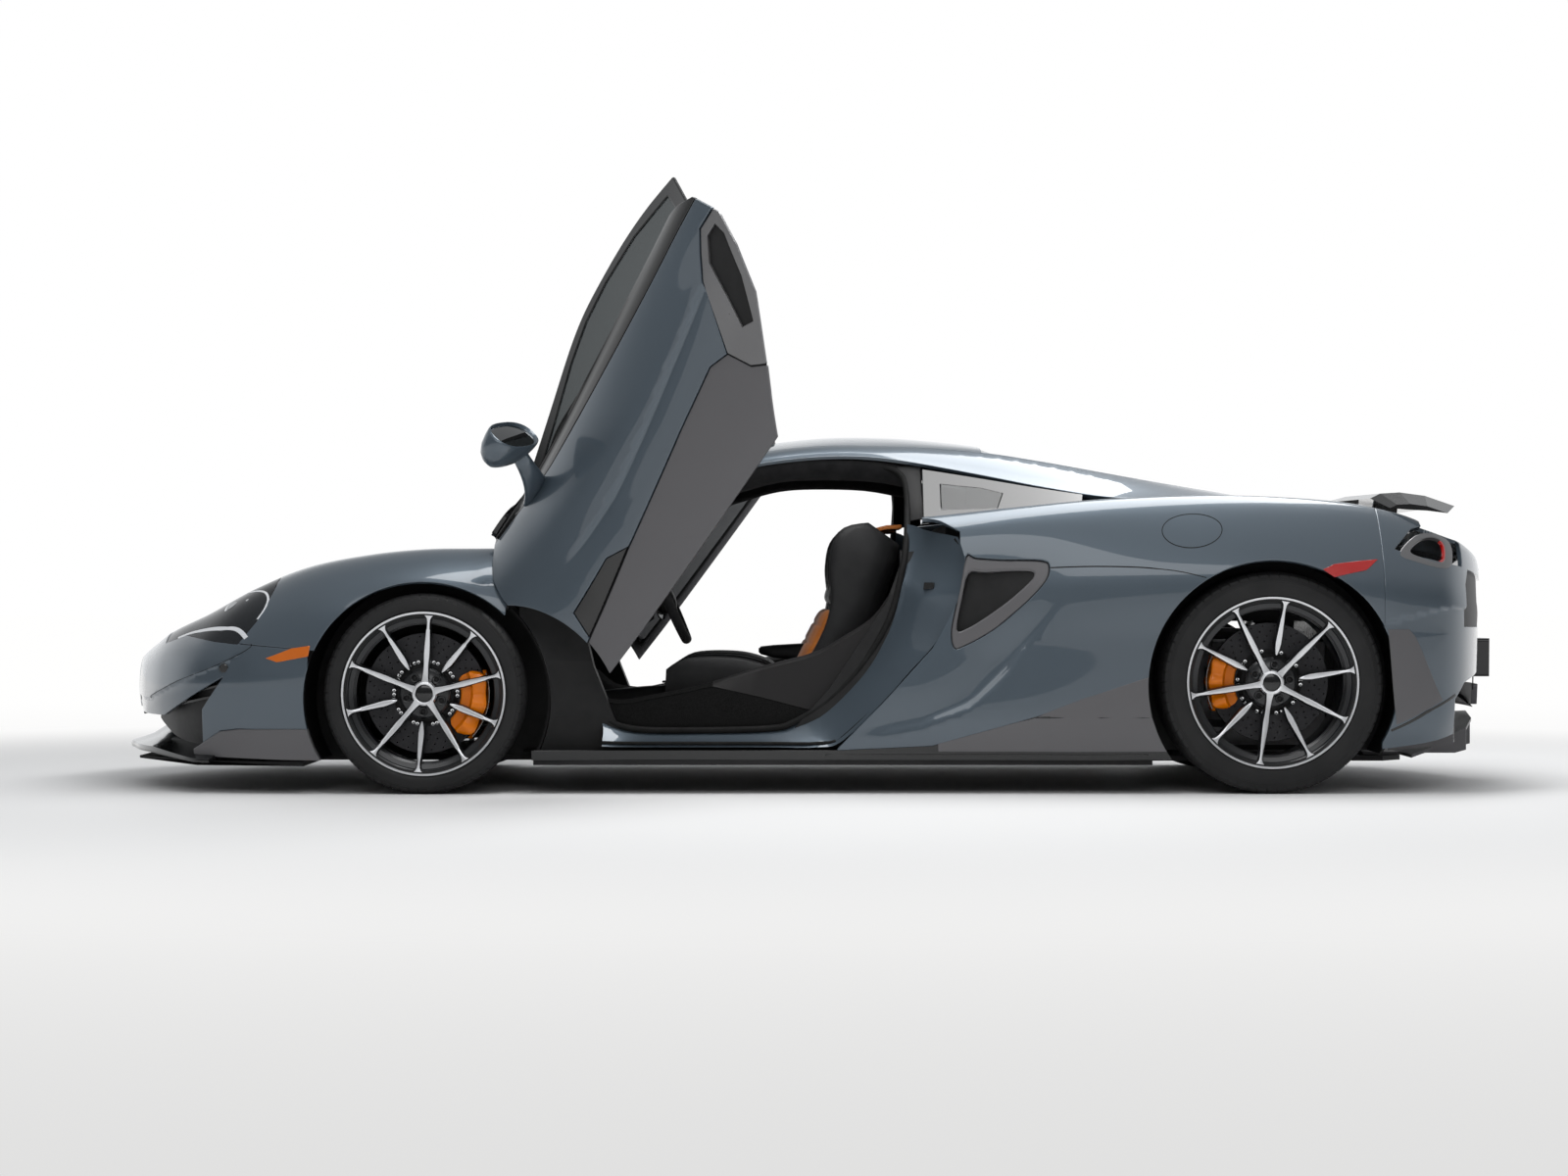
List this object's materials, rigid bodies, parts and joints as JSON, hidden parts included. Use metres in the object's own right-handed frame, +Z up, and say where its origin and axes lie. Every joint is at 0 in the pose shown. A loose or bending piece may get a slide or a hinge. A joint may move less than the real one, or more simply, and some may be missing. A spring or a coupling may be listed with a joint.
{
  "type": "mid-engined supercar",
  "caption": "Low two-seat mid-engined car with upward-swinging side doors raised, lifting front lid, steered front wheels and free-rolling wheels.",
  "frame": {"origin": "On the floor below the middle of the car's length and width, both doors raised", "axes": "+X from nose to tail, +Y to the car's right-hand side, +Z up; left-hand pieces are on the -Y side"},
  "size_m": [4.604, 2.991, 1.9341],
  "materials": {
    "body_paint": "gloss blue-grey paint",
    "dark_trim": "satin dark grey",
    "structure": "matt black composite",
    "liner": "matt black",
    "window_glass": "tinted glass",
    "headlamp": "dark lens with a bright reflector",
    "tail_lamp": "red lens",
    "exhaust_metal": "brushed",
    "engine": "cast",
    "interior": "black",
    "seat_leather": "black with burnt-orange panels",
    "suspension": "cast",
    "brake_caliper": "gloss orange",
    "wheel_rim": "machined faces, dark grey sides",
    "tyre": "matt black"
  },
  "bodies": {
    "root": {"front_bumper": "body_paint", "front_fender_left": "body_paint", "front_fender_right": "body_paint", "quarter_panel_left": "body_paint", "quarter_panel_right": "body_paint", "rear_bumper": "body_paint", "roof": "body_paint", "front_splitter": "dark_trim", "side_intakes": "dark_trim", "side_skirts": "dark_trim", "diffuser": "dark_trim", "rear_wing": "dark_trim", "underbody": "dark_trim", "engine_cover": "dark_trim", "cabin_tub": "structure", "front_frame": "structure", "side_frame_left": "structure", "side_frame_right": "structure", "arch_liners": "liner", "windscreen": "window_glass", "rear_window": "window_glass", "quarter_windows": "window_glass", "headlamps": "headlamp", "tail_lamps": "tail_lamp", "exhaust": "exhaust_metal", "engine_block": "engine", "dashboard": "interior", "centre_console": "interior", "seat_left": "seat_leather", "seat_right": "seat_leather", "rear_uprights": "suspension", "suspension_arms": "suspension", "rear_calipers": "brake_caliper"},
    "door_left": {"door_left": "body_paint", "door_glass_left": "window_glass", "mirror_left": "dark_trim"},
    "door_right": {"door_right": "body_paint", "door_glass_right": "window_glass", "mirror_right": "dark_trim"},
    "bonnet": {"bonnet": "body_paint"},
    "steering_wheel": {"steering_wheel": "interior"},
    "knuckle_left": {"knuckle_left": "suspension", "caliper_front_left": "brake_caliper"},
    "knuckle_right": {"knuckle_right": "suspension", "caliper_front_right": "brake_caliper"},
    "wheel_front_left": {"rim_front_left": "wheel_rim", "tyre_front_left": "tyre"},
    "wheel_front_right": {"rim_front_right": "wheel_rim", "tyre_front_right": "tyre"},
    "wheel_rear_left": {"rim_rear_left": "wheel_rim", "tyre_rear_left": "tyre"},
    "wheel_rear_right": {"rim_rear_right": "wheel_rim", "tyre_rear_right": "tyre"}
  },
  "joints": [
    {"name": "door_left_hinge", "type": "hinge", "parent": "root", "child": "door_left", "pos_m": [-0.982, -0.804, 0.656], "axis": [-0.1031, -0.8514, -0.5143], "range_deg": [-58, 0]},
    {"name": "door_right_hinge", "type": "hinge", "parent": "root", "child": "door_right", "pos_m": [-0.982, 0.804, 0.656], "axis": [0.1031, -0.8514, 0.5143], "range_deg": [-58, 0]},
    {"name": "bonnet_hinge", "type": "hinge", "parent": "root", "child": "bonnet", "pos_m": [-0.904, 0, 0.757], "axis": [0, 1, 0], "range_deg": [0, 60]},
    {"name": "steer_left", "type": "hinge", "parent": "root", "child": "knuckle_left", "pos_m": [-1.218, -0.735, 0.316], "axis": [0, 0, 1], "range_deg": [-30, 30]},
    {"name": "steer_right", "type": "hinge", "parent": "root", "child": "knuckle_right", "pos_m": [-1.218, 0.735, 0.316], "axis": [0, 0, 1], "range_deg": [-30, 30]},
    {"name": "steering_wheel_turn", "type": "hinge", "parent": "root", "child": "steering_wheel", "pos_m": [-0.47, -0.37, 0.62], "axis": [0.9135, 0, 0.4067], "range_deg": [-435, 435]},
    {"name": "wheel_front_left_spin", "type": "hinge", "parent": "knuckle_left", "child": "wheel_front_left", "pos_m": [-1.218, -0.84, 0.316], "axis": [0, 1, 0], "continuous": true},
    {"name": "wheel_front_right_spin", "type": "hinge", "parent": "knuckle_right", "child": "wheel_front_right", "pos_m": [-1.218, 0.84, 0.316], "axis": [0, 1, 0], "continuous": true},
    {"name": "wheel_rear_left_spin", "type": "hinge", "parent": "root", "child": "wheel_rear_left", "pos_m": [1.452, -0.796, 0.35], "axis": [0, 1, 0], "continuous": true},
    {"name": "wheel_rear_right_spin", "type": "hinge", "parent": "root", "child": "wheel_rear_right", "pos_m": [1.452, 0.796, 0.35], "axis": [0, 1, 0], "continuous": true}
  ],
  "couplings": [
    {"joint": "steer_right", "follows": "steer_left", "ratio": 1},
    {"joint": "steering_wheel_turn", "follows": "steer_left", "ratio": 14.4}
  ]
}
